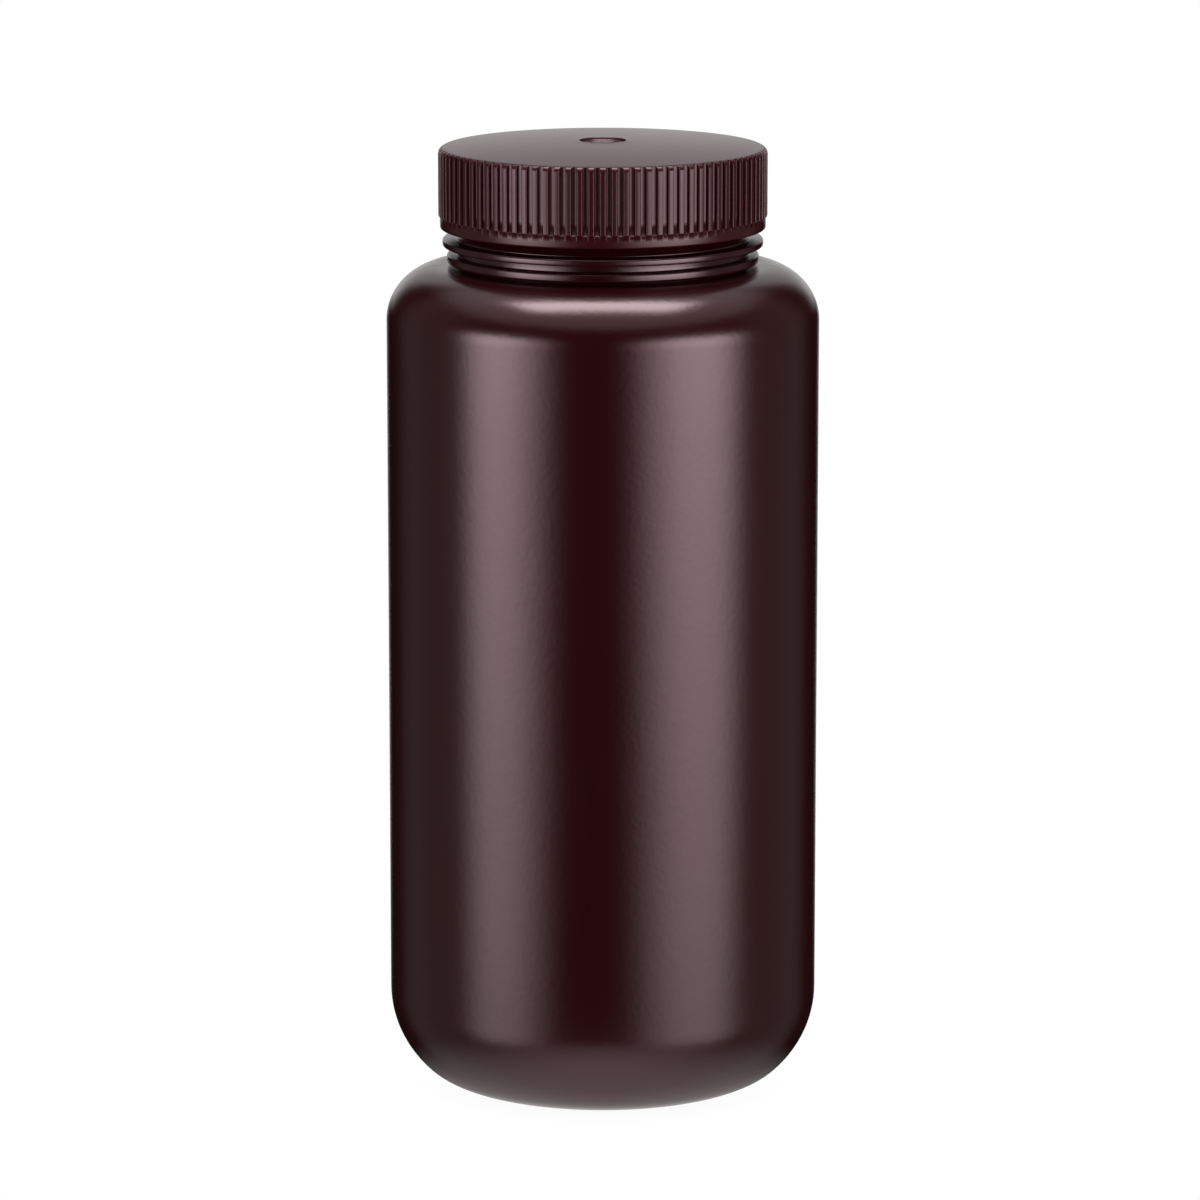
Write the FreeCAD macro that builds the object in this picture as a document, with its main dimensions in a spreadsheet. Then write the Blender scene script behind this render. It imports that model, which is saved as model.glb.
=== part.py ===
import FreeCAD, Part
import math
import os
import Sketcher

# A one-litre wide-mouth laboratory bottle with its screw cap, in millimetres, +Z up.
# The origin lies on the bottle's axis, in the plane that the standing ring rests on.

SIZES = {
    # Bottle, outside
    "body_radius": 45.5,
    "heel_width": 14.9,
    "heel_height": 19.2,
    "ring_width": 1.6,
    "push_up": 3.0,
    "push_up_flat": 9.0,
    "shoulder_height": 175.0,
    "shoulder_radius": 11.6,
    "shoulder_ledge": 0.5,
    "root_bevel": 0.5,
    # Neck, with its heights above the shoulder and its radii out from the thread's root
    "neck_top": 23.15,
    "thread_inset": 0.8,
    "lip_bevel": 0.4,
    # Beads round the neck, each standing on its lower face
    "lower_bead_reach": 1.9,
    "lower_bead_base": 0.7,
    "lower_bead_height": 1.85,
    "upper_bead_reach": 2.85,
    "upper_bead_base": 4.2,
    "upper_bead_height": 1.5,
    "bead_bevel": 0.3,
    # Bottle, inside
    "wall": 1.5,
    "neck_wall": 2.5,
    "throat_bevel": 2.2,
    # Cap, outside
    "rib_radius": 34.5,
    "collar_inset": 0.35,
    "collar_height": 2.55,
    "collar_bevel": 0.25,
    "rim_bevel": 1.0,
    "dome_rise": 1.4,
    # Grooves that leave the ribs standing
    "rib_count": 90,
    "groove_depth": 0.8,
    "groove_floor": 1.0,
    "groove_width": 1.2,
    "rib_tip_bevel": 0.25,
    # Gate recess in the middle of the cap's top
    "gate_radius": 4.85,
    "gate_depth": 1.1,
    "gate_draft": 0.3,
    "nub_radius": 2.2,
    "nub_height": 0.6,
    # Cap, inside, and the room that it leaves round the neck
    "cap_wall": 1.5,
    "cap_plate": 1.6,
    "cap_bore_bevel": 0.7,
    "seat_gap": 0.1,
    "collar_gap": 2.25,
    "thread_room": 2.2,
    # Plug ring that seals in the bottle's bore
    "plug_gap": 0.3,
    "plug_depth": 3.0,
    "plug_root": 1.4,
    "plug_tip": 0.8,
    # Length by which a cutting profile runs past the faces it opens
    "overcut": 1.0,
}
FULL_TURN = 360.0
ON_AXIS = 1e-9

# A sketch's own numbers for its axes, its origin and the ends of an edge
ACROSS_INDEX, UP_INDEX = -1, -2
START_INDEX, END_INDEX = 1, 2
ORIGIN = (ACROSS_INDEX, START_INDEX)

doc = FreeCAD.newDocument("wide_mouth_bottle")
sheet = doc.addObject("Spreadsheet::Sheet", "sizes")
for row, (alias, number) in enumerate(SIZES.items(), start=1):
    sheet.set("A%d" % row, alias)
    sheet.set("B%d" % row, str(number))
    sheet.setAlias("B%d" % row, alias)
doc.recompute()


class Size:
    """A length with its number and the sheet formula that keeps it up to date."""

    def __init__(self, number, formula):
        self.number = number
        self.formula = formula

    def joined(self, sign, other, number):
        return Size(number, "(%s %s %s)" % (self.formula, sign, other.formula))

    def __add__(self, other):
        return self.joined("+", other, self.number + other.number)

    def __sub__(self, other):
        return self.joined("-", other, self.number - other.number)

    def __mul__(self, other):
        return self.joined("*", other, self.number * other.number)

    def __truediv__(self, other):
        return self.joined("/", other, self.number / other.number)

    def __neg__(self):
        return Size(-self.number, "(0 - %s)" % self.formula)


def size(alias):
    """The named size, as the sheet holds it."""
    return Size(SIZES[alias], "sizes." + alias)


def lesser(one, other):
    """The smaller of two lengths, for a round that its wall may limit."""
    return Size(min(one.number, other.number), "min(%s; %s)" % (one.formula, other.formula))


ZERO = Size(0.0, "0")
TWO = Size(2.0, "2")


def new_body(label):
    """An empty body that will be written out under its label."""
    body = doc.addObject("PartDesign::Body", label)
    body.Label = label
    return body


def new_sketch(body, name, role, height=None):
    """A sketch on one of the body's own planes, lifted by height if one is given."""
    sketch = body.newObject("Sketcher::SketchObject", name)
    plane = [feature for feature in body.Origin.OriginFeatures if feature.Role == role][0]
    sketch.AttachmentSupport = [(plane, "")]
    sketch.MapMode = "FlatFace"
    if height is not None:
        sketch.setExpression("AttachmentOffset.Base.z", height.formula)
    return sketch


def bind(sketch, kind, references, length):
    """Add a dimension to the sketch and tie it to the sheet."""
    index = sketch.addConstraint(Sketcher.Constraint(kind, *references, length.number))
    sketch.setExpression("Constraints[%d]" % index, length.formula)


def place(sketch, edge, end, across, up):
    """Fix one end of an edge at its distances from the sketch's two axes."""
    for kind, length, axis in (("DistanceX", across, UP_INDEX), ("DistanceY", up, ACROSS_INDEX)):
        if abs(length.number) < ON_AXIS:
            sketch.addConstraint(Sketcher.Constraint("PointOnObject", edge, end, axis))
        elif length.number > 0:
            bind(sketch, kind, (*ORIGIN, edge, end), length)
        else:
            bind(sketch, kind, (edge, end, *ORIGIN), -length)


def arc_between(start, finish, radius):
    """The short anticlockwise arc from one point to the other."""
    chord = finish - start
    sagitta = radius - math.sqrt(radius * radius - chord.Length ** 2 / 4)
    outward = FreeCAD.Vector(chord.y, -chord.x, 0).normalize()
    return Part.Arc(start, (start + finish) / 2 + outward * sagitta, finish)


def draw(sketch, corners):
    """Close an outline that runs anticlockwise through the corners.

    A corner is (across, up) where the edge that leaves it is straight, and
    (across, up, radius) where that edge is an arc that bulges outwards.
    """
    points = [FreeCAD.Vector(corner[0].number, corner[1].number, 0) for corner in corners]
    edges = []
    for index, corner in enumerate(corners):
        here = points[index]
        there = points[(index + 1) % len(points)]
        if len(corner) == 2:
            edges.append(sketch.addGeometry(Part.LineSegment(here, there)))
            continue
        radius = corner[2]
        edge = sketch.addGeometry(arc_between(here, there, radius.number))
        bind(sketch, "Radius", (edge,), radius)
        edges.append(edge)
    for index, corner in enumerate(corners):
        before = edges[index - 1]
        sketch.addConstraint(Sketcher.Constraint("Coincident", before, END_INDEX, edges[index], START_INDEX))
        place(sketch, edges[index], START_INDEX, corner[0], corner[1])


def turned(body, kind, name, corners):
    """Revolve an outline of (radius, height) corners about the bottle's axis."""
    sketch = new_sketch(body, name + "_profile", "XZ_Plane")
    draw(sketch, corners)
    feature = body.newObject(kind, name)
    feature.Profile = sketch
    feature.ReferenceAxis = (sketch, ["V_Axis"])
    feature.Angle = FULL_TURN
    doc.recompute()


# The closure's radii follow from the ribs' tips, inwards through the cap's wall and the
# room for the thread to the neck and its bore. Its heights follow from the shoulder.
groove_floor_radius = size("rib_radius") - size("groove_depth")
cap_bore = groove_floor_radius - size("cap_wall")
thread_root = cap_bore - size("thread_room")
neck_radius = thread_root + size("thread_inset")
bore_radius = thread_root - size("neck_wall")
lip_height = size("shoulder_height") + size("neck_top")
step_height = size("shoulder_height") + size("upper_bead_base") + size("upper_bead_height")

# A wide neck leaves less room for the shoulder's round, beside a ledge that always stays.
neck_root = neck_radius + size("root_bevel")
shoulder_room = size("body_radius") - neck_root - size("shoulder_ledge")
shoulder = lesser(size("shoulder_radius"), shoulder_room)

# The heel is an oval of two tangent arcs. The tight one has the radius that an ellipse
# of the same width and height has at its foot, and the slack one follows from it.
heel_width = size("heel_width")
heel_height = size("heel_height")
tight = heel_width * heel_width / heel_height
slack = (heel_width * heel_width + heel_height * heel_height - TWO * heel_height * tight) \
    / (TWO * (heel_width - tight))
foot_radius = size("body_radius") - heel_width
ring_inner = foot_radius - size("ring_width")
reach = (slack - heel_width) / (slack - tight)
fall = (heel_height - tight) / (slack - tight)


def heel_joint(radius):
    """Where the two heel arcs meet, for the tight arc or one offset from it."""
    return foot_radius + radius * reach, tight - radius * fall


def add_outer_form(body):
    """The blown outside: raised base, ring, heel, wall, shoulder and neck."""
    joint_across, joint_up = heel_joint(tight)
    wall_radius = size("body_radius")
    shoulder_top = size("shoulder_height")
    step = step_height - size("bead_bevel")
    lip = size("lip_bevel")
    turned(body, "PartDesign::Revolution", "outer_form", [
        (ZERO, size("push_up")),
        (size("push_up_flat"), size("push_up")),
        (ring_inner, ZERO),
        (foot_radius, ZERO, tight),
        (joint_across, joint_up, slack),
        (wall_radius, heel_height),
        (wall_radius, shoulder_top - shoulder, shoulder),
        (wall_radius - shoulder, shoulder_top),
        (neck_root, shoulder_top),
        (neck_radius, shoulder_top + size("root_bevel")),
        (neck_radius, step),
        (thread_root, step),
        (thread_root, lip_height - lip),
        (thread_root - lip, lip_height),
        (ZERO, lip_height),
    ])


def add_bead(body, name):
    """One of the soft-edged beads that ring the neck under the cap."""
    inner = bore_radius + size("wall")
    outer = neck_radius + size(name + "_reach")
    base = size("shoulder_height") + size(name + "_base")
    top = base + size(name + "_height")
    edge = size("bead_bevel")
    turned(body, "PartDesign::Revolution", name, [
        (inner, base),
        (outer - edge, base),
        (outer, base + edge),
        (outer, top - edge),
        (outer - edge, top),
        (inner, top),
    ])


def add_cavity(body):
    """The inside: one wall in from the outside, drawn in to the straight bore."""
    wall = size("wall")
    joint_across, joint_up = heel_joint(tight - wall)
    inner_wall = size("body_radius") - wall
    inner_shoulder = shoulder - wall
    ceiling = size("shoulder_height") - wall
    throat = size("throat_bevel")
    lip = size("lip_bevel")
    above = lip_height + size("overcut")
    turned(body, "PartDesign::Groove", "cavity", [
        (ZERO, size("push_up") + wall),
        (size("push_up_flat"), size("push_up") + wall),
        (ring_inner, wall),
        (foot_radius, wall, tight - wall),
        (joint_across, joint_up, slack - wall),
        (inner_wall, heel_height),
        (inner_wall, size("shoulder_height") - shoulder, inner_shoulder),
        (inner_wall - inner_shoulder, ceiling),
        (bore_radius + throat, ceiling),
        (bore_radius, ceiling + throat),
        (bore_radius, lip_height - lip),
        (bore_radius + lip, lip_height),
        (bore_radius + lip, above),
        (ZERO, above),
    ])


def build_bottle():
    """The bottle, blown in one piece."""
    body = new_body("bottle")
    add_outer_form(body)
    add_bead(body, "lower_bead")
    add_bead(body, "upper_bead")
    add_cavity(body)
    return body


# The cap's underside seats on the lip, and its collar ends just clear of the upper bead.
cap_underside = lip_height + size("seat_gap")
cap_base = step_height + size("collar_gap")
collar_top = cap_base + size("collar_height")
rim_top = cap_underside + size("cap_plate")
dome_top = rim_top + size("dome_rise")
plug_outer = bore_radius - size("plug_gap")
plug_inner = plug_outer - size("plug_root")


def add_cap_blank(body):
    """The cap before its ribs are cut: collar, skirt, bevelled rim and low crown."""
    tips = size("rib_radius")
    collar = tips - size("collar_inset")
    edge = size("collar_bevel")
    rim = size("rim_bevel")
    crown = tips - rim
    dome = (crown * crown + size("dome_rise") * size("dome_rise")) / (TWO * size("dome_rise"))
    turned(body, "PartDesign::Revolution", "cap_blank", [
        (ZERO, cap_base),
        (collar - edge, cap_base),
        (collar, cap_base + edge),
        (collar, collar_top),
        (tips, collar_top),
        (tips, rim_top - rim),
        (crown, rim_top, dome),
        (ZERO, dome_top),
    ])


def cut_cap_inside(body):
    """The bore that clears the neck, up to the flat underside that seats on the lip."""
    corner = size("cap_bore_bevel")
    below = cap_base - size("overcut")
    turned(body, "PartDesign::Groove", "cap_inside", [
        (ZERO, below),
        (cap_bore, below),
        (cap_bore, cap_underside - corner),
        (cap_bore - corner, cap_underside),
        (ZERO, cap_underside),
    ])


def add_plug_ring(body):
    """The thin ring that dips into the bore and seals there."""
    tip = plug_outer - size("plug_tip")
    foot = cap_underside - size("plug_depth")
    root = cap_underside + size("cap_plate") / TWO
    lead = size("plug_gap")
    turned(body, "PartDesign::Revolution", "plug_ring", [
        (plug_inner, cap_underside),
        (tip - lead, foot),
        (plug_outer - lead, foot),
        (plug_outer, foot + lead),
        (plug_outer, root),
        (plug_inner, root),
    ])


def cut_gate(body):
    """The round recess over the moulding gate, with the gate's nub on its floor."""
    floor = dome_top - size("gate_depth")
    nub_top = floor + size("nub_height")
    mouth = dome_top + size("overcut")
    turned(body, "PartDesign::Groove", "gate", [
        (ZERO, nub_top),
        (size("nub_radius"), nub_top),
        (size("nub_radius"), floor),
        (size("gate_radius") - size("gate_draft"), floor),
        (size("gate_radius"), dome_top),
        (size("gate_radius"), mouth),
        (ZERO, mouth),
    ])


def cut_ribs(body):
    """Upright grooves from the collar up through the rim leave soft-tipped ribs."""
    tips = size("rib_radius")
    tip = size("rib_tip_bevel")
    half_floor = size("groove_floor") / TWO
    half_width = size("groove_width") / TWO
    outside = tips + size("overcut")
    sketch = new_sketch(body, "groove_profile", "XY_Plane", collar_top)
    draw(sketch, [
        (groove_floor_radius, -half_floor),
        (tips - tip, -half_width),
        (outside, -half_width - tip - size("overcut")),
        (outside, half_width + tip + size("overcut")),
        (tips - tip, half_width),
        (groove_floor_radius, half_floor),
    ])
    groove = body.newObject("PartDesign::Pocket", "groove")
    groove.Profile = sketch
    groove.Type = "ThroughAll"
    groove.Reversed = True
    doc.recompute()
    ribs = body.newObject("PartDesign::PolarPattern", "ribs")
    ribs.Originals = [groove]
    ribs.Axis = (sketch, ["N_Axis"])
    ribs.Angle = FULL_TURN
    ribs.setExpression("Occurrences", size("rib_count").formula)
    body.Tip = ribs
    doc.recompute()


def build_cap():
    """The screw cap, moulded in one piece with its plug ring."""
    body = new_body("screw_cap")
    add_cap_blank(body)
    cut_cap_inside(body)
    add_plug_ring(body)
    cut_gate(body)
    cut_ribs(body)
    return body


def check(bodies):
    """Stop if any object failed or any piece isn't one sound solid."""
    for item in doc.Objects:
        if "Invalid" in item.State or "Error" in item.State:
            raise RuntimeError("%s failed: %s" % (item.Name, item.State))
    for body in bodies:
        shape = body.Shape
        if shape.isNull() or not shape.isValid() or len(shape.Solids) != 1:
            raise RuntimeError("%s is not one sound solid" % body.Label)


pieces = [build_bottle(), build_cap()]
doc.recompute()
check(pieces)
os.makedirs("parts", exist_ok=True)
for piece in pieces:
    piece.Shape.exportStep("parts/%s.step" % piece.Label)
    box = piece.Shape.optimalBoundingBox(False, False)
    print("%s: %.0f cubic mm, z %.2f to %.2f, radius %.2f" % (
        piece.Label, piece.Shape.Volume, box.ZMin, box.ZMax, box.XMax))
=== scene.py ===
# %% [markdown]
# # A wide-mouth bottle in dark red-brown plastic
# This lesson dresses one laboratory bottle: a blown body, a ribbed screw cap, and the
# satin skin that such plastic gets from its mould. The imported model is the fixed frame.
# Every piece below is made in metres, in the frame's own place, so nothing is fitted later.

# %% Load the frame
import math

import bmesh
import bpy
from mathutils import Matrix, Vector


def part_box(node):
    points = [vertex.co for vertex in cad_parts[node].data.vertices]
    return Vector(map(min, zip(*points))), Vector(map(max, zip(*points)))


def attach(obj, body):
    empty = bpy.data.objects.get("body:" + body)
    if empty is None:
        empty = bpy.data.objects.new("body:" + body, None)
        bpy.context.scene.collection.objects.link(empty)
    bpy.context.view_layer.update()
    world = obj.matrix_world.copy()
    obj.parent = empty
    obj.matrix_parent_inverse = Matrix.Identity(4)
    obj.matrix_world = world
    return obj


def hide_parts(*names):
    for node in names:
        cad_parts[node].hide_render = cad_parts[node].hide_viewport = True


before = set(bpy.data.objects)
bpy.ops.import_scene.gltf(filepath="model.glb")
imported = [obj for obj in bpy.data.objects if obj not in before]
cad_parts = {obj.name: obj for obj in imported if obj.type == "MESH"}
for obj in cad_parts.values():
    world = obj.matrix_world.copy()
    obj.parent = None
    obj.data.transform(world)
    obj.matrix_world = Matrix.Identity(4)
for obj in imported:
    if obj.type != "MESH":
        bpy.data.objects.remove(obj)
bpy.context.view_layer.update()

# %% [markdown]
# ## Working in millimetres
# A bottle maker's drawing is in millimetres and Blender's scene is in metres. One factor
# turns the first into the second, so that each size below reads like the drawing.
# The body's radius and the heights of the neck and the cap come from the frame's own boxes.

# %% Units and the sizes that the frame gives
MM = 0.001


def in_mm(length):
    """A length of the frame in millimetres, rounded to a hundredth."""
    return round(length / MM, 2)


bottle_low, bottle_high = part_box("bottle")
cap_low, cap_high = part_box("screw_cap")
BODY_RADIUS = in_mm(bottle_high.x)
NECK_TOP = in_mm(bottle_high.z)
CAP_BASE = in_mm(cap_low.z)
DOME_TOP = in_mm(cap_high.z)
print("body radius", BODY_RADIUS, "neck top", NECK_TOP, "cap", CAP_BASE, "to", DOME_TOP)

# %% [markdown]
# ## The camera
# The photograph was taken from far off with a long lens, a little above the cap, so the
# bottle's sides run almost parallel. A 180 mm lens on a 36 mm sensor does the same. The
# camera looks at a point on the axis, half way up, and is turned down by eleven degrees.

# %% Camera
LOOK_AT = Vector((0.0, 0.0, 103.1)) * MM
CAMERA_DISTANCE = 1274.5 * MM
CAMERA_PITCH = math.radians(11.35)
AXIS_OFFSET = -0.6 * MM

camera_data = bpy.data.cameras.new("long_lens")
camera_data.sensor_width = 36
camera_data.lens = 180
camera_data.clip_start = 0.05
camera = bpy.data.objects.new("long_lens", camera_data)
bpy.context.scene.collection.objects.link(camera)
back_off = Vector((0, -math.cos(CAMERA_PITCH), math.sin(CAMERA_PITCH))) * CAMERA_DISTANCE
camera.location = LOOK_AT + back_off + Vector((AXIS_OFFSET, 0, 0))
camera.rotation_euler = (math.pi / 2 - CAMERA_PITCH, 0, 0)
bpy.context.scene.camera = camera
print("camera at", [round(value, 4) for value in camera.location])

# %% [markdown]
# ## Outlines with round stretches
# The bottle and the cap are both round, so each one is a single outline turned about the
# axis. The outline is a list of (radius, height) points. Straight stretches need only
# their ends, and round ones come from one small formula that walks along an arc.


# %% Arc helper
def arc(across, up, radius, start, finish, steps):
    """Points on an arc about (across, up), from one angle in degrees to another."""
    angles = [math.radians(start + (finish - start) * step / steps) for step in range(steps + 1)]
    return [(across + radius * math.cos(a), up + radius * math.sin(a)) for a in angles]


def rise_arc(outer, inner, low, high, steps):
    """A shallow arc from (outer, low) up to (inner, high) that ends level."""
    reach, rise = outer - inner, high - low
    radius = (reach * reach + rise * rise) / (2 * rise)
    start = math.degrees(math.asin(reach / radius))
    return arc(inner, high - radius, radius, 90 - start, 90, steps)


# %% [markdown]
# ## Turning an outline into a piece
# The spin operator does what a lathe does. One spin could go all the way round, but a long
# one is slow and says nothing about what repeats. So the first spin makes a single slice,
# which a function may carve, and the second spin copies the slice round the axis. Merging
# doubles then closes the seams between slices and the poles on the axis. The normals are
# recalculated last, because a spin can leave a shape inside out.


# %% Spin helper
SEAM = 0.001


def spin_piece(outline, slices, columns, carve=None):
    """A closed bmesh of equal slices: the outline, in millimetres, turned about Z."""
    shape = bmesh.new()
    about = {"cent": (0, 0, 0), "axis": (0, 0, 1)}
    corners = [shape.verts.new((r * MM, 0, z * MM)) for r, z in outline]
    edges = [shape.edges.new(pair) for pair in zip(corners, corners[1:])]
    width = math.tau / slices
    bmesh.ops.spin(shape, geom=corners + edges, angle=width, steps=columns, **about)
    if carve:
        carve(shape, width, columns)
    everything = shape.verts[:] + shape.edges[:] + shape.faces[:]
    bmesh.ops.spin(shape, geom=everything, angle=width * (slices - 1), steps=slices - 1,
                   use_duplicate=True, **about)
    bmesh.ops.remove_doubles(shape, verts=shape.verts, dist=SEAM * MM)
    bmesh.ops.recalc_face_normals(shape, faces=shape.faces)
    return shape


def finished(shape, name, body, replaced=None):
    """Turn a bmesh into a smooth-shaded piece that rides on a body of the frame."""
    for face in shape.faces:
        face.smooth = True
    mesh = bpy.data.meshes.new(name)
    shape.to_mesh(mesh)
    shape.free()
    piece = bpy.data.objects.new(name, mesh)
    bpy.context.scene.collection.objects.link(piece)
    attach(piece, body)
    if replaced:
        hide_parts(replaced)
    print("made", name, "with", len(mesh.polygons), "faces")
    return piece


# %% [markdown]
# ## The blown bottle
# The real bottle is blown inside a mould from a warm tube. Its outside copies the mould,
# with a round shoulder and a soft heel, and its base is pushed up so that it stands on a
# narrow ring. The heel is two tangent arcs: a tight one at the foot, as tight as the end
# of an ellipse, and a slack one that runs from there into the straight wall.

# %% Bottle sizes
WALL = 1.5
HEEL_WIDTH = 14.9
HEEL_HEIGHT = 19.2
RING_WIDTH = 1.6
PUSH_UP = 3.0
PUSH_UP_FLAT = 9.0
SHOULDER_TOP = 175.0
SHOULDER_RADIUS = 11.6
ROOT_ROUND = 0.5
NECK_RADIUS = 30.8
THREAD_ROOT_RADIUS = 30.0
BORE_RADIUS = 27.5
THROAT_ROUND = 3.0
LIP_ROUND = 0.5
BEAD_ROUND = 0.45
WALL_STEPS = 8
BEADS = {"lower": (175.7, 1.85, 32.7), "upper": (179.2, 1.5, 33.65)}

HEEL_TIGHT = HEEL_WIDTH ** 2 / HEEL_HEIGHT
HEEL_SLACK = (HEEL_WIDTH ** 2 + HEEL_HEIGHT ** 2 - 2 * HEEL_HEIGHT * HEEL_TIGHT) \
    / (2 * (HEEL_WIDTH - HEEL_TIGHT))
HEEL_SPLIT = math.degrees(math.atan2(HEEL_HEIGHT - HEEL_TIGHT, HEEL_SLACK - HEEL_WIDTH))
FOOT_RADIUS = BODY_RADIUS - HEEL_WIDTH
print("heel arcs", round(HEEL_TIGHT, 2), round(HEEL_SLACK, 2), "meeting at", round(HEEL_SPLIT, 1))


# %% [markdown]
# The neck carries two beads under the cap. The upper one stops the cap, and the lower one
# is there for handling. Each has soft edges, because a mould can't hold a sharp one.

# %% Bottle outline
def heel(offset, steps):
    """The heel's two arcs, moved inwards by offset."""
    low = arc(FOOT_RADIUS, HEEL_TIGHT, HEEL_TIGHT - offset, -90, -HEEL_SPLIT, steps)
    high = arc(BODY_RADIUS - HEEL_SLACK, HEEL_HEIGHT, HEEL_SLACK - offset, -HEEL_SPLIT, 0, steps)
    return low + high[1:]


def bead(base, height, radius, foot):
    """A round-edged bead with a small fillet where it leaves the neck."""
    fillet = BEAD_ROUND / 2
    low = arc(foot + fillet, base - fillet, fillet, 180, 90, 3)
    edge = arc(radius - BEAD_ROUND, base + BEAD_ROUND, BEAD_ROUND, -90, 0, 5)
    edge += arc(radius - BEAD_ROUND, base + height - BEAD_ROUND, BEAD_ROUND, 0, 90, 5)
    high = arc(foot + fillet, base + height + fillet, fillet, -90, -180, 3)
    return low + edge + high


def bottle_outline():
    """From the middle of the base, up the outside, over the lip and down the inside."""
    inner_ring = FOOT_RADIUS - RING_WIDTH
    wall_top = SHOULDER_TOP - SHOULDER_RADIUS
    neck_root = NECK_RADIUS + ROOT_ROUND
    outside = [(0, PUSH_UP)]
    outside += rise_arc(inner_ring, PUSH_UP_FLAT, 0, PUSH_UP, 10)[::-1]
    outside += heel(0, 14)
    rise = wall_top - HEEL_HEIGHT
    outside += [(BODY_RADIUS, HEEL_HEIGHT + rise * part / WALL_STEPS)
                for part in range(1, WALL_STEPS)]
    outside += arc(BODY_RADIUS - SHOULDER_RADIUS, wall_top, SHOULDER_RADIUS, 0, 90, 24)
    outside += arc(neck_root, SHOULDER_TOP + ROOT_ROUND, ROOT_ROUND, -90, -180, 5)
    outside += bead(*BEADS["lower"], NECK_RADIUS)
    outside += bead(*BEADS["upper"], NECK_RADIUS)
    step = sum(BEADS["upper"][:2]) + BEAD_ROUND
    outside += [(NECK_RADIUS, step), (THREAD_ROOT_RADIUS, step + BEAD_ROUND)]
    outside += arc(THREAD_ROOT_RADIUS - LIP_ROUND, NECK_TOP - LIP_ROUND, LIP_ROUND, 0, 90, 5)
    ceiling = SHOULDER_TOP - WALL
    inside = arc(BORE_RADIUS + LIP_ROUND, NECK_TOP - LIP_ROUND, LIP_ROUND, 90, 180, 5)
    inside += arc(BORE_RADIUS + THROAT_ROUND, ceiling + THROAT_ROUND, THROAT_ROUND, 180, 270, 8)
    inside += arc(BODY_RADIUS - SHOULDER_RADIUS, wall_top, SHOULDER_RADIUS - WALL, 90, 0, 12)
    inside += heel(WALL, 8)[::-1]
    inside += rise_arc(inner_ring, PUSH_UP_FLAT, WALL, PUSH_UP + WALL, 6)
    inside += [(0, PUSH_UP + WALL)]
    return outside + inside


# %% [markdown]
# A blow mould closes from two sides and leaves a faint line where its halves meet. It
# also pinches the tube shut under the base, which leaves a short straight seam there.
# Both are real on such bottles. The spin leaves one column of vertices exactly in the
# mould's closing plane, and moving that column a little along its normals makes both.

# %% Bottle piece
BOTTLE_SLICES = 24
BOTTLE_COLUMNS = 15
MOULD_LINE = 0.035
MOULD_LINE_FOOT = 1.0
PINCH_OFF = 0.25
PINCH_OFF_REACH = 17.0


def raise_mould_lines(shape):
    """Lift the closing plane's column on the body and lower it under the base."""
    shape.normal_update()
    for corner in shape.verts:
        if abs(corner.co.y) > SEAM * MM:
            continue
        radius, height = abs(corner.co.x) / MM, corner.co.z / MM
        outside = corner.normal.x * corner.co.x > 0 and radius > NECK_RADIUS + 1
        if outside and height > MOULD_LINE_FOOT:
            corner.co += corner.normal * MOULD_LINE * MM
        if corner.normal.z < 0 and height <= PUSH_UP + SEAM and radius < PINCH_OFF_REACH:
            corner.co.z -= PINCH_OFF * MM


bottle_shape = spin_piece(bottle_outline(), BOTTLE_SLICES, BOTTLE_COLUMNS)
raise_mould_lines(bottle_shape)
bottle_piece = finished(bottle_shape, "bottle_shell", "bottle", "bottle")

# %% [markdown]
# ## Threads on the neck and in the cap
# A thread is a small ridge wound round the neck. The spin operator makes it too: its
# `dvec` lifts the outline a little at each step, which turns the circle into a helix. The
# first and last steps are pressed back into the wall, so the ridge fades out at its ends.
# The cap's ridge starts half a pitch lower than the neck's, and the two crests stay a
# fifth of a millimetre apart, so that the cap can also be shown lifted straight off.


# %% Thread
THREAD_PITCH = 4.2
THREAD_TURNS = 1.5
THREAD_START = 190.0
THREAD_STEPS = 96
FADE_STEPS = 10
RIDGE_HALF_FOOT = 1.15
RIDGE_HALF_CREST = 0.4
RIDGE_SUNK = 0.25


def thread_ridge(root, crest, base_height):
    """A helical ridge from root to crest radius, closed at its faded ends."""
    shape = bmesh.new()
    sunk = root + math.copysign(RIDGE_SUNK, root - crest)
    outline = [(sunk, -RIDGE_HALF_FOOT), (root, -RIDGE_HALF_FOOT), (crest, -RIDGE_HALF_CREST),
               (crest, RIDGE_HALF_CREST), (root, RIDGE_HALF_FOOT), (sunk, RIDGE_HALF_FOOT)]
    corners = [shape.verts.new(Vector((r, 0, base_height + z)) * MM) for r, z in outline]
    end = shape.faces.new(corners)
    total = int(THREAD_STEPS * THREAD_TURNS)
    lift = THREAD_PITCH / THREAD_STEPS * MM
    bmesh.ops.spin(shape, geom=[end], cent=(0, 0, 0), axis=(0, 0, 1), dvec=(0, 0, lift),
                   angle=math.tau * THREAD_TURNS, steps=total, use_merge=False)
    shape.verts.ensure_lookup_table()
    for index, corner in enumerate(shape.verts):
        step = index // len(outline)
        fade = min(1.0, min(step, total - step) / FADE_STEPS)
        radius = math.hypot(corner.co.x, corner.co.y)
        wanted = sunk * MM + (radius - sunk * MM) * fade
        corner.co.x *= wanted / radius
        corner.co.y *= wanted / radius
    bmesh.ops.recalc_face_normals(shape, faces=shape.faces)
    return shape


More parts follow.
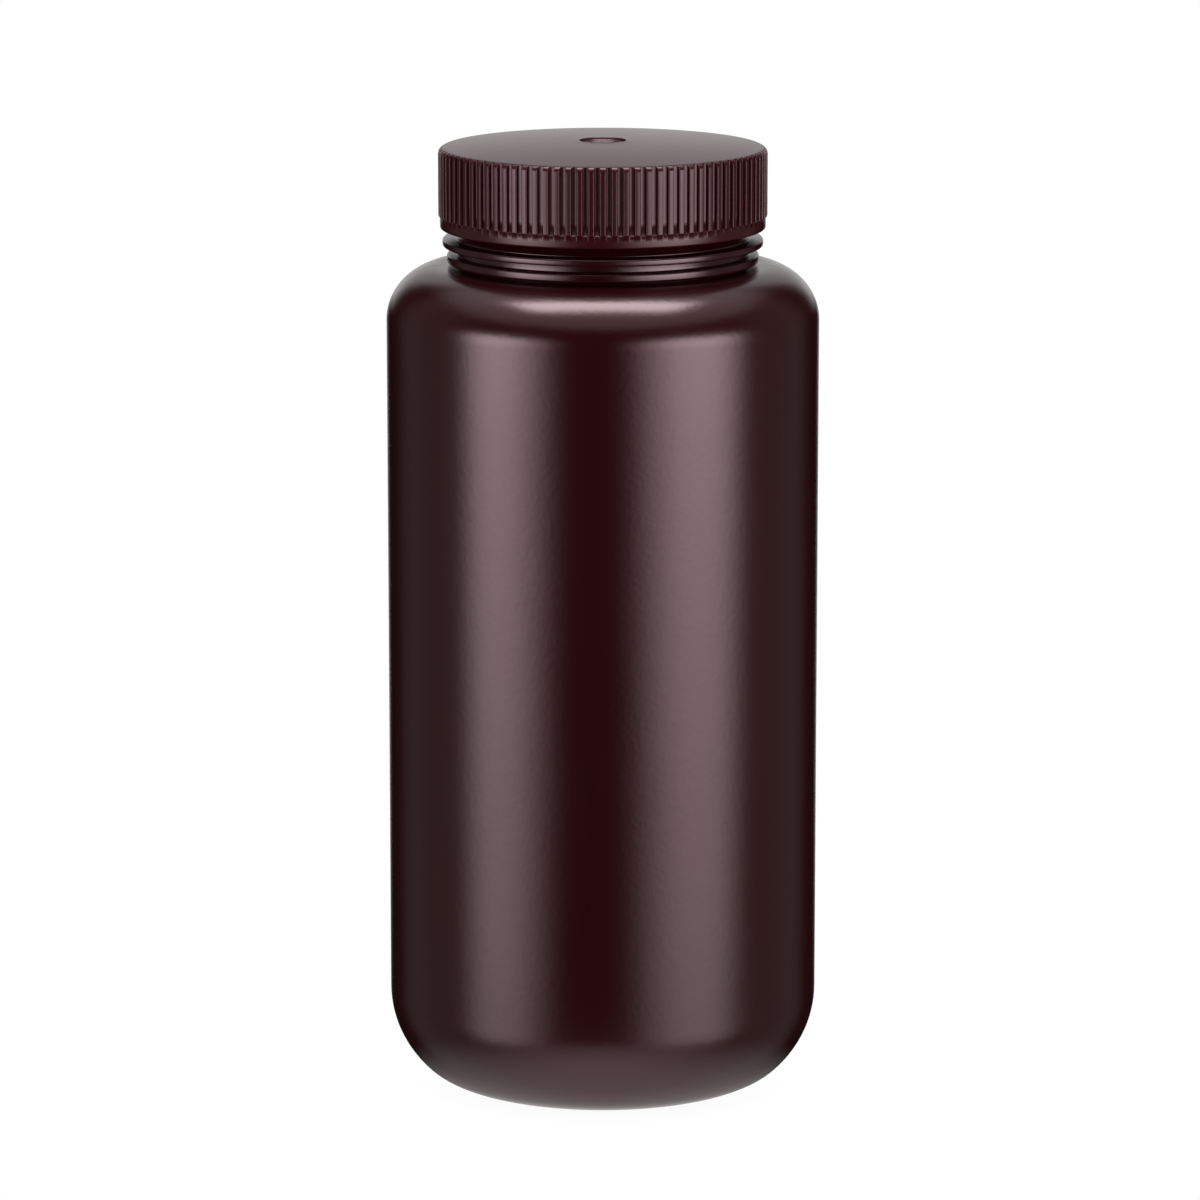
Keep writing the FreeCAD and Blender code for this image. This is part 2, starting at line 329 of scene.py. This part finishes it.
NECK_THREAD_CREST = 30.95
CAP_BORE_RADIUS = 32.2
CAP_THREAD_CREST = 31.15
CAP_THREAD_DROP = 2.1
neck_thread = finished(thread_ridge(THREAD_ROOT_RADIUS, NECK_THREAD_CREST, THREAD_START),
                       "neck_thread", "bottle")
cap_ridge = thread_ridge(CAP_BORE_RADIUS, CAP_THREAD_CREST, THREAD_START - CAP_THREAD_DROP)
cap_thread = finished(cap_ridge, "cap_thread", "cap")

# %% [markdown]
# ## The screw cap
# The cap is moulded in one shot: a low dome with the gate's recess in its middle, a
# rounded rim, a ribbed skirt for grip and a smooth collar. Inside hangs the thin ring
# that plugs the neck. First the plain blank is spun, with several columns for each rib.

# %% Cap sizes
COLLAR_RADIUS = 34.15
COLLAR_HEIGHT = 2.55
COLLAR_ROUND = 0.35
RIB_RADIUS = 34.5
RIM_ROUND = 1.3
CAP_PLATE = 1.6
DOME_RISE = 1.4
SEAT_GAP = 0.1
RIB_COUNT = 90
GROOVE_DEPTH = 0.8
RIB_FOOT = 0.12
RIB_FOOT_ROUND = 0.3
SKIRT_STEPS = 4
CROWN_PLATE = 2.0
CAP_BORE_ROUND = 1.0
GATE_RADIUS = 4.85
GATE_DEPTH = 0.65
GATE_DRAFT = 0.3
GATE_EDGE = 0.25
NUB_RADIUS = 2.4
NUB_HEIGHT = 0.35
NUB_EDGE = 0.25
PLUG_GAP = 0.3
PLUG_ROOT = 1.4
PLUG_TIP = 0.8
PLUG_DEPTH = 3.0
UNDERSIDE = NECK_TOP + SEAT_GAP
COLLAR_TOP = CAP_BASE + COLLAR_HEIGHT
RIM_TOP = UNDERSIDE + CAP_PLATE
CROWN = RIM_TOP + DOME_RISE


# %% Cap outline
def cap_outline():
    """From the middle of the top, out over the rim, down the skirt and back up inside."""
    floor = CROWN - GATE_DEPTH
    nub_top = floor + NUB_HEIGHT
    outside = [(0, nub_top)]
    outside += arc(NUB_RADIUS - NUB_EDGE, nub_top - NUB_EDGE, NUB_EDGE, 90, 0, 4)
    outside += [(NUB_RADIUS, floor), (GATE_RADIUS - GATE_DRAFT, floor)]
    dome = rise_arc(RIB_RADIUS - RIM_ROUND, 0, RIM_TOP, CROWN, 12)[::-1]
    outside += arc(GATE_RADIUS + GATE_EDGE, CROWN - GATE_EDGE, GATE_EDGE, 180, 90, 4)
    outside += [point for point in dome if point[0] > GATE_RADIUS + 2 * GATE_EDGE]
    outside += arc(RIB_RADIUS - RIM_ROUND, RIM_TOP - RIM_ROUND, RIM_ROUND, 90, 0, 10)
    skirt = RIM_TOP - RIM_ROUND - COLLAR_TOP
    outside += [(RIB_RADIUS, COLLAR_TOP + skirt * part / SKIRT_STEPS)
                for part in range(SKIRT_STEPS - 1, 0, -1)]
    outside += [(RIB_RADIUS, COLLAR_TOP + RIB_FOOT_ROUND), (RIB_RADIUS, COLLAR_TOP + RIB_FOOT)]
    outside += [(COLLAR_RADIUS, COLLAR_TOP), (COLLAR_RADIUS, CAP_BASE + COLLAR_HEIGHT / 2)]
    outside += arc(COLLAR_RADIUS - COLLAR_ROUND, CAP_BASE + COLLAR_ROUND, COLLAR_ROUND, 0, -90, 5)
    plug_outer = BORE_RADIUS - PLUG_GAP
    plug_inner = plug_outer - PLUG_ROOT
    foot = UNDERSIDE - PLUG_DEPTH
    inside = [(CAP_BORE_RADIUS + COLLAR_ROUND, CAP_BASE)]
    inside += [(CAP_BORE_RADIUS, CAP_BASE + COLLAR_ROUND)]
    inside += arc(CAP_BORE_RADIUS - CAP_BORE_ROUND, UNDERSIDE - CAP_BORE_ROUND,
                  CAP_BORE_ROUND, 0, 90, 5)
    inside += [(plug_outer, UNDERSIDE), (plug_outer, foot + PLUG_GAP)]
    inside += [(plug_outer - PLUG_GAP, foot), (plug_outer - PLUG_TIP - PLUG_GAP, foot)]
    inside += [(plug_inner, UNDERSIDE)]
    inside += rise_arc(plug_inner, 0, UNDERSIDE, CROWN - CROWN_PLATE, 5)[1:]
    return outside + inside


# %% [markdown]
# ## Pressing the grooves
# Each rib is about as wide as the groove beside it and has a flat face with round edges.
# One slice of the cap runs from the middle of a groove to the middle of the next, in
# sixteen columns. Some of them lie close together at each bend, which keeps the flats flat
# when shaded. Every column is slid to its station across the groove and pressed in to the
# depth that the station has. A vertex that is already further in, as on the dome, stays
# where it is, so the grooves run out through the rounded rim.

# %% Ribs
COLUMNS = 16
STATIONS = [(0.0, 0.80), (0.39, 0.80), (0.46, 0.77), (0.54, 0.55), (0.62, 0.20), (0.69, 0.05),
            (0.77, 0.01), (0.87, 0.0), (math.pi * RIB_RADIUS / RIB_COUNT, 0.0)]
GROOVE_END = 0.2


def press_ribs(shape, width, columns):
    """Slide one slice's columns to their stations and press half a groove at each side."""
    for corner in shape.verts:
        radius = math.hypot(corner.co.x, corner.co.y)
        if radius < NUB_RADIUS / 2 * MM:
            continue
        column = round(math.atan2(corner.co.y, corner.co.x) / width * columns)
        distance, depth = STATIONS[min(column, columns - column)]
        angle = distance / RIB_RADIUS if column <= columns / 2 else width - distance / RIB_RADIUS
        height = corner.co.z / MM - COLLAR_TOP
        if height > SEAM and radius > (RIB_RADIUS - GROOVE_DEPTH - SEAM) * MM:
            strength = min(1.0, height / GROOVE_END)
            radius = min(radius, (RIB_RADIUS - depth * strength) * MM)
        corner.co.x = radius * math.cos(angle)
        corner.co.y = radius * math.sin(angle)


cap_shape = spin_piece(cap_outline(), RIB_COUNT, COLUMNS, press_ribs)
cap_piece = finished(cap_shape, "ribbed_cap", "cap", "screw_cap")

# %% [markdown]
# ## The moulded skin
# Polyethylene comes off a blasted mould with a fine orange-peel grain, which shows only
# in the highlights. Its colour also drifts very slightly, where the pigment flowed. One
# node group makes both from the object's own coordinates, for every material here.


# %% Skin group
WAVE_SCALE = 160.0
WAVE_SHARE = 0.6
DRIFT_SCALE = 28.0


def socket(group, name, kind, way, value=None):
    """A named input or output of a node group."""
    made = group.interface.new_socket(name=name, in_out=way, socket_type=kind)
    if value is not None:
        made.default_value = value


def noise(nodes, links, place, scale, detail):
    """A noise texture on the object's own coordinates."""
    node = nodes.new("ShaderNodeTexNoise")
    node.inputs["Scale"].default_value = scale
    node.inputs["Detail"].default_value = detail
    links.new(place, node.inputs["Vector"])
    return node


def make_skin_group():
    """Grain height, roughness and drifting colour for moulded plastic."""
    group = bpy.data.node_groups.new("moulded_skin", "ShaderNodeTree")
    socket(group, "Tone", "NodeSocketColor", "INPUT")
    socket(group, "Deep Tone", "NodeSocketColor", "INPUT")
    socket(group, "Grain Scale", "NodeSocketFloat", "INPUT", 1500.0)
    socket(group, "Roughness", "NodeSocketFloat", "INPUT", 0.3)
    socket(group, "Roughness Drift", "NodeSocketFloat", "INPUT", 0.04)
    socket(group, "Color", "NodeSocketColor", "OUTPUT")
    socket(group, "Roughness", "NodeSocketFloat", "OUTPUT")
    socket(group, "Height", "NodeSocketFloat", "OUTPUT")
    nodes, links = group.nodes, group.links
    given = nodes.new("NodeGroupInput")
    result = nodes.new("NodeGroupOutput")
    place = nodes.new("ShaderNodeTexCoord").outputs["Object"]

    grain = noise(nodes, links, place, 1500.0, 2.0)
    links.new(given.outputs["Grain Scale"], grain.inputs["Scale"])
    waves = noise(nodes, links, place, WAVE_SCALE, 1.0)
    blend = nodes.new("ShaderNodeMath")
    blend.operation = "MULTIPLY_ADD"
    blend.inputs[1].default_value = WAVE_SHARE
    links.new(waves.outputs["Fac"], blend.inputs[0])
    links.new(grain.outputs["Fac"], blend.inputs[2])
    links.new(blend.outputs[0], result.inputs["Height"])

    drift = noise(nodes, links, place, DRIFT_SCALE, 3.0)
    tint = nodes.new("ShaderNodeMix")
    tint.data_type = "RGBA"
    links.new(drift.outputs["Fac"], tint.inputs["Factor"])
    links.new(given.outputs["Tone"], tint.inputs["A"])
    links.new(given.outputs["Deep Tone"], tint.inputs["B"])
    links.new(tint.outputs["Result"], result.inputs["Color"])

    centred = nodes.new("ShaderNodeMath")
    centred.operation = "SUBTRACT"
    centred.inputs[1].default_value = 0.5
    links.new(drift.outputs["Fac"], centred.inputs[0])
    swing = nodes.new("ShaderNodeMath")
    swing.operation = "MULTIPLY_ADD"
    links.new(centred.outputs[0], swing.inputs[0])
    links.new(given.outputs["Roughness Drift"], swing.inputs[1])
    links.new(given.outputs["Roughness"], swing.inputs[2])
    links.new(swing.outputs[0], result.inputs["Roughness"])
    return group


skin_group = make_skin_group()
print("group", skin_group.name, "with", len(skin_group.nodes), "nodes")

# %% [markdown]
# ## The two plastics
# The bottle's polyethylene is satin: its highlights are broad and soft. The cap's
# polypropylene comes from a polished mould, with a finer grain. Both hold the same deep
# red-brown pigment, which keeps light from the contents. The bottle's IOR is set above
# polyethylene's own 1.51, which keeps its bands bright under plain lamps.


# %% Materials
GLOSS_TINT = (0.95, 0.69, 0.73, 1)


def make_plastic(name, tone, deep_tone, ior, roughness, grain_scale, grain_depth):
    """An opaque moulded plastic with its grain as a small bump."""
    material = bpy.data.materials.new(name)
    material.use_nodes = True
    nodes, links = material.node_tree.nodes, material.node_tree.links
    shader = nodes["Principled BSDF"]
    shader.inputs["IOR"].default_value = ior
    shader.inputs["Specular Tint"].default_value = GLOSS_TINT
    skin = nodes.new("ShaderNodeGroup")
    skin.node_tree = skin_group
    skin.inputs["Tone"].default_value = tone
    skin.inputs["Deep Tone"].default_value = deep_tone
    skin.inputs["Grain Scale"].default_value = grain_scale
    skin.inputs["Roughness"].default_value = roughness
    bump = nodes.new("ShaderNodeBump")
    bump.inputs["Strength"].default_value = 1.0
    bump.inputs["Distance"].default_value = grain_depth
    links.new(skin.outputs["Height"], bump.inputs["Height"])
    links.new(bump.outputs["Normal"], shader.inputs["Normal"])
    links.new(skin.outputs["Color"], shader.inputs["Base Color"])
    links.new(skin.outputs["Roughness"], shader.inputs["Roughness"])
    return material


BOTTLE_TONE = (0.0164, 0.0004, 0.0011, 1)
BOTTLE_DEEP = (0.0137, 0.0003, 0.0009, 1)
CAP_TONE = (0.0273, 0.0013, 0.0031, 1)
CAP_DEEP = (0.0232, 0.0010, 0.0025, 1)
bottle_plastic = make_plastic("satin_polyethylene", BOTTLE_TONE, BOTTLE_DEEP, ior=1.63,
                              roughness=0.235, grain_scale=850.0, grain_depth=0.020 * MM)
cap_plastic = make_plastic("glossy_polypropylene", CAP_TONE, CAP_DEEP, ior=1.5,
                           roughness=0.28, grain_scale=2200.0, grain_depth=0.003 * MM)
for piece, plastic in ((bottle_piece, bottle_plastic), (neck_thread, bottle_plastic),
                       (cap_piece, cap_plastic), (cap_thread, cap_plastic)):
    piece.data.materials.append(plastic)
for node, plastic in (("bottle", bottle_plastic), ("screw_cap", cap_plastic)):
    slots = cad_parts[node].data.materials
    slots.clear()
    slots.append(plastic)

# %% [markdown]
# ## Floor
# The bottle stands on a small pale disc, which keeps the soft shadow under the heel. The
# disc glows for rays from the camera, from mirrors and through glass alike, so all of them
# see it white. It is small, and it thins out towards its edge, so that the heel mirrors it
# without a hard line and the wall above mirrors what lies beyond it. Its middle lies well
# towards the camera, because the photograph's heel is dark at its sides.


# %% Node helpers
def mapped(nodes, links, value, low, high, at_low, at_high):
    """A smooth ramp of value between two bounds."""
    ramp = nodes.new("ShaderNodeMapRange")
    ramp.interpolation_type = "SMOOTHSTEP"
    ramp.inputs["From Min"].default_value = low
    ramp.inputs["From Max"].default_value = high
    ramp.inputs["To Min"].default_value = at_low
    ramp.inputs["To Max"].default_value = at_high
    links.new(value, ramp.inputs["Value"])
    return ramp.outputs["Result"]


def combined(nodes, links, operation, *values):
    """One number from several, such as their sum, product or maximum."""
    total = values[0]
    for value in values[1:]:
        step = nodes.new("ShaderNodeMath")
        step.operation = operation
        for place, part in enumerate((total, value)):
            if isinstance(part, (int, float)):
                step.inputs[place].default_value = part
            else:
                links.new(part, step.inputs[place])
        total = step.outputs[0]
    return total


def hill(nodes, links, value, start, top_start, top_end, end):
    """0 outside two bounds and 1 on the top between the inner two."""
    rise = mapped(nodes, links, value, start, top_start, 0.0, 1.0)
    fall = mapped(nodes, links, value, top_end, end, 1.0, 0.0)
    return combined(nodes, links, "MULTIPLY", rise, fall)


def around(nodes, links, vector):
    """The x, y and z of a vector, and its angle from the camera's side, right positive."""
    parts = nodes.new("ShaderNodeSeparateXYZ")
    links.new(vector, parts.inputs[0])
    x, y, z = parts.outputs
    angle = combined(nodes, links, "ARCTAN2", x, combined(nodes, links, "MULTIPLY", y, -1.0))
    return x, y, z, angle


def degrees(*angles):
    """Angles given in degrees, in radians."""
    return [math.radians(angle) for angle in angles]


# %% Floor
FLOOR_RADIUS = 66.0
FLOOR_SOLID = 8.0
FLOOR_DROP = 0.05
FLOOR_SHIFT = -42.0
FLOOR_GLOW = 0.92
FLOOR_PALE = 0.2
disc = bmesh.new()
bmesh.ops.create_circle(disc, cap_ends=True, segments=96, radius=FLOOR_RADIUS * MM)
bmesh.ops.translate(disc, verts=disc.verts, vec=(0, FLOOR_SHIFT * MM, -FLOOR_DROP * MM))
floor_mesh = bpy.data.meshes.new("floor")
disc.to_mesh(floor_mesh)
disc.free()
floor = bpy.data.objects.new("floor", floor_mesh)
bpy.context.scene.collection.objects.link(floor)

floor_material = bpy.data.materials.new("pale_table")
floor_material.use_nodes = True
nodes, links = floor_material.node_tree.nodes, floor_material.node_tree.links
nodes.clear()
path = nodes.new("ShaderNodeLightPath")
shown = combined(nodes, links, "MAXIMUM", path.outputs["Is Camera Ray"],
                 path.outputs["Is Glossy Ray"], path.outputs["Is Transmission Ray"])
glow = nodes.new("ShaderNodeEmission")
links.new(combined(nodes, links, "MULTIPLY", shown, FLOOR_GLOW), glow.inputs["Strength"])
matt = nodes.new("ShaderNodeBsdfDiffuse")
matt.inputs["Color"].default_value = (FLOOR_PALE, FLOOR_PALE, FLOOR_PALE, 1)
lit = nodes.new("ShaderNodeAddShader")
links.new(glow.outputs[0], lit.inputs[0])
links.new(matt.outputs[0], lit.inputs[1])
from_middle = nodes.new("ShaderNodeVectorMath")
from_middle.operation = "LENGTH"
centred = nodes.new("ShaderNodeMapping")
centred.inputs["Location"].default_value = (0, -FLOOR_SHIFT * MM, 0)
links.new(nodes.new("ShaderNodeTexCoord").outputs["Object"], centred.inputs["Vector"])
links.new(centred.outputs[0], from_middle.inputs[0])
thinning = nodes.new("ShaderNodeMixShader")
thinned = mapped(nodes, links, from_middle.outputs["Value"],
                 FLOOR_SOLID * MM, FLOOR_RADIUS * MM, 0.0, 1.0)
links.new(thinned, thinning.inputs["Fac"])
links.new(lit.outputs[0], thinning.inputs[1])
links.new(nodes.new("ShaderNodeBsdfTransparent").outputs[0], thinning.inputs[2])
output = nodes.new("ShaderNodeOutputMaterial")
links.new(thinning.outputs[0], output.inputs["Surface"])
floor_mesh.materials.append(floor_material)

# %% [markdown]
# ## World
# The camera and clear things see plain white. Mirrored rays see the same white background
# where it stands, behind the bottle and, a little dimmer, above it. Elsewhere they see a
# dim room, because a shiny dark bottle shows the room in front of it too. The world never
# goes above white, and it adds an even matt light, so that the back isn't left black.


# %% World
SHEET_LEVEL = (0.0, 0.3, 1.0, 0.52)
SHEET_EDGE = degrees(152, 162)
SHEET_FOOT = (-0.08, 0.03)
SHEET_TOP = (0.55, 0.75)
TABLE_EDGE = degrees(165, 170)
TABLE_FOOT = (-0.28, -0.21)
CEILING = (0.5, 0.75, 0.0, 0.7)
SIDES = degrees(70, 95, 120, 145)
SIDE_BRIGHTNESS = 0.155
ROOM_BRIGHTNESS = 0.005
MATT_BRIGHTNESS = 0.25

world = bpy.data.worlds.new("white_studio")
bpy.context.scene.world = world
world.use_nodes = True
nodes, links = world.node_tree.nodes, world.node_tree.links
nodes.clear()
direction = nodes.new("ShaderNodeTexCoord").outputs["Generated"]
ray_z, azimuth = around(nodes, links, direction)[2:]
away = nodes.new("ShaderNodeMath")
away.operation = "ABSOLUTE"
links.new(azimuth, away.inputs[0])
away = away.outputs[0]
sheet = combined(nodes, links, "MULTIPLY", mapped(nodes, links, away, *SHEET_EDGE, 0.0, 1.0),
                 hill(nodes, links, ray_z, *SHEET_FOOT, *SHEET_TOP))
table = combined(nodes, links, "MULTIPLY", mapped(nodes, links, away, *TABLE_EDGE, 0.0, 1.0),
                 mapped(nodes, links, ray_z, *TABLE_FOOT, 0.0, 1.0),
                 mapped(nodes, links, ray_z, *SHEET_FOOT, 1.0, 0.0))
sides = combined(nodes, links, "MULTIPLY", hill(nodes, links, away, *SIDES), SIDE_BRIGHTNESS)
ceiling = mapped(nodes, links, ray_z, *CEILING)
backdrop = combined(nodes, links, "MULTIPLY", combined(nodes, links, "ADD", sheet, table),
                    mapped(nodes, links, ray_z, *SHEET_LEVEL))
mirrored = combined(nodes, links, "MAXIMUM", backdrop, sides, ceiling, ROOM_BRIGHTNESS)

path = nodes.new("ShaderNodeLightPath")
shown = combined(nodes, links, "MAXIMUM", path.outputs["Is Camera Ray"],
                 path.outputs["Is Transmission Ray"])
mirror = combined(nodes, links, "MULTIPLY", path.outputs["Is Glossy Ray"], mirrored)
matt_rays = combined(nodes, links, "SUBTRACT", 1.0, path.outputs["Is Glossy Ray"])
matt_level = combined(nodes, links, "MULTIPLY", matt_rays, MATT_BRIGHTNESS)
strength = combined(nodes, links, "MAXIMUM", shown, mirror, matt_level)
background = nodes.new("ShaderNodeBackground")
background.inputs["Color"].default_value = (1, 1, 1, 1)
links.new(strength, background.inputs["Strength"])
world_output = nodes.new("ShaderNodeOutputWorld")
links.new(background.outputs[0], world_output.inputs["Surface"])

# %% [markdown]
# ## Three softboxes
# Two tall softboxes stand in front, left and right, and one hangs overhead. A real softbox
# is brightest in its middle and fades to its edges, which gives the bottle's bands their
# soft flanks. A lamp can do this too: its shader reads the place on its own surface. The
# tall ones are also brighter towards their top. Matt and mirrored light come from the same
# three lamps, at a level where a colour renders in front about as it is written.


# %% Lamps
def soft_lamp(name, place, aim, width, height, brightness, fade):
    """A rectangular softbox at place, with a full brightness and a function that fades it."""
    data = bpy.data.lights.new(name, "AREA")
    data.shape = "RECTANGLE"
    data.size = width
    data.size_y = height
    data.energy = brightness * math.pi * width * height
    data.use_nodes = True
    nodes, links = data.node_tree.nodes, data.node_tree.links
    spot = nodes.new("ShaderNodeNewGeometry").outputs["Position"]
    share = fade(nodes, links, *around(nodes, links, spot))
    links.new(share, nodes["Emission"].inputs["Strength"])
    lamp = bpy.data.objects.new(name, data)
    lamp.location = place
    lamp.rotation_euler = (Vector(aim) - Vector(place)).to_track_quat("-Z", "Y").to_euler()
    lamp.visible_camera = False
    bpy.context.scene.collection.objects.link(lamp)
    print(name, "is", width, "by", height, "m with", round(data.energy, 1), "W at most")


TALL_DISTANCE = 0.9
TALL_FOOT, TALL_TOP = -0.42, 0.42
TALL_END = 0.12
RAMP_FOOT, RAMP_TOP = -0.30, 0.30
FOOT_SHARE = 0.27
LEFT_BOX = (-84, -61, -54, -20)
RIGHT_BOX = (8, 46, 58, 84)


def tall_softbox(name, box, brightness):
    """A tall softbox between two azimuths, which fades to its sides and its foot."""
    middle = math.radians((box[0] + box[3]) / 2)
    width = 2 * TALL_DISTANCE * math.tan(math.radians(box[3] - box[0]) / 2)
    height = (TALL_FOOT + TALL_TOP) / 2
    place = (TALL_DISTANCE * math.sin(middle), -TALL_DISTANCE * math.cos(middle), height)

    def fade(nodes, links, x, y, z, azimuth):
        """Full between the two inner azimuths, and soft to the sides, the foot and the top."""
        across = hill(nodes, links, azimuth, *degrees(*box))
        upwards = mapped(nodes, links, z, RAMP_FOOT, RAMP_TOP, FOOT_SHARE, 1.0)
        end = mapped(nodes, links, z, TALL_TOP - TALL_END, TALL_TOP, 1.0, 0.0)
        return combined(nodes, links, "MULTIPLY", across, upwards, end)

    soft_lamp(name, place, (0, 0, height), round(width, 3), TALL_TOP - TALL_FOOT,
              brightness, fade)


tall_softbox("left_softbox", LEFT_BOX, brightness=6.4)
tall_softbox("right_softbox", RIGHT_BOX, brightness=6.6)

OVERHEAD_PLACE = (0, -0.05, 1.1)
OVERHEAD_AIM = (0, -0.05, 0)
OVERHEAD_WIDTH = 0.96
OVERHEAD_LENGTH = 0.62
OVERHEAD_ACROSS = (-0.48, -0.42, 0.42, 0.48)
OVERHEAD_ALONG = (-0.36, -0.08, 0.12, 0.26)


def overhead_fade(nodes, links, x, y, z, azimuth):
    """Full in the middle of the overhead softbox, and soft towards all its edges."""
    return combined(nodes, links, "MULTIPLY", hill(nodes, links, x, *OVERHEAD_ACROSS),
                    hill(nodes, links, y, *OVERHEAD_ALONG))


soft_lamp("overhead_softbox", OVERHEAD_PLACE, OVERHEAD_AIM, OVERHEAD_WIDTH, OVERHEAD_LENGTH,
          brightness=9.2, fade=overhead_fade)

# %% [markdown]
# ## Finish
# The view transform stays Standard, so a colour renders as it is written.

# %% Finish
bpy.context.scene.view_settings.view_transform = "Standard"
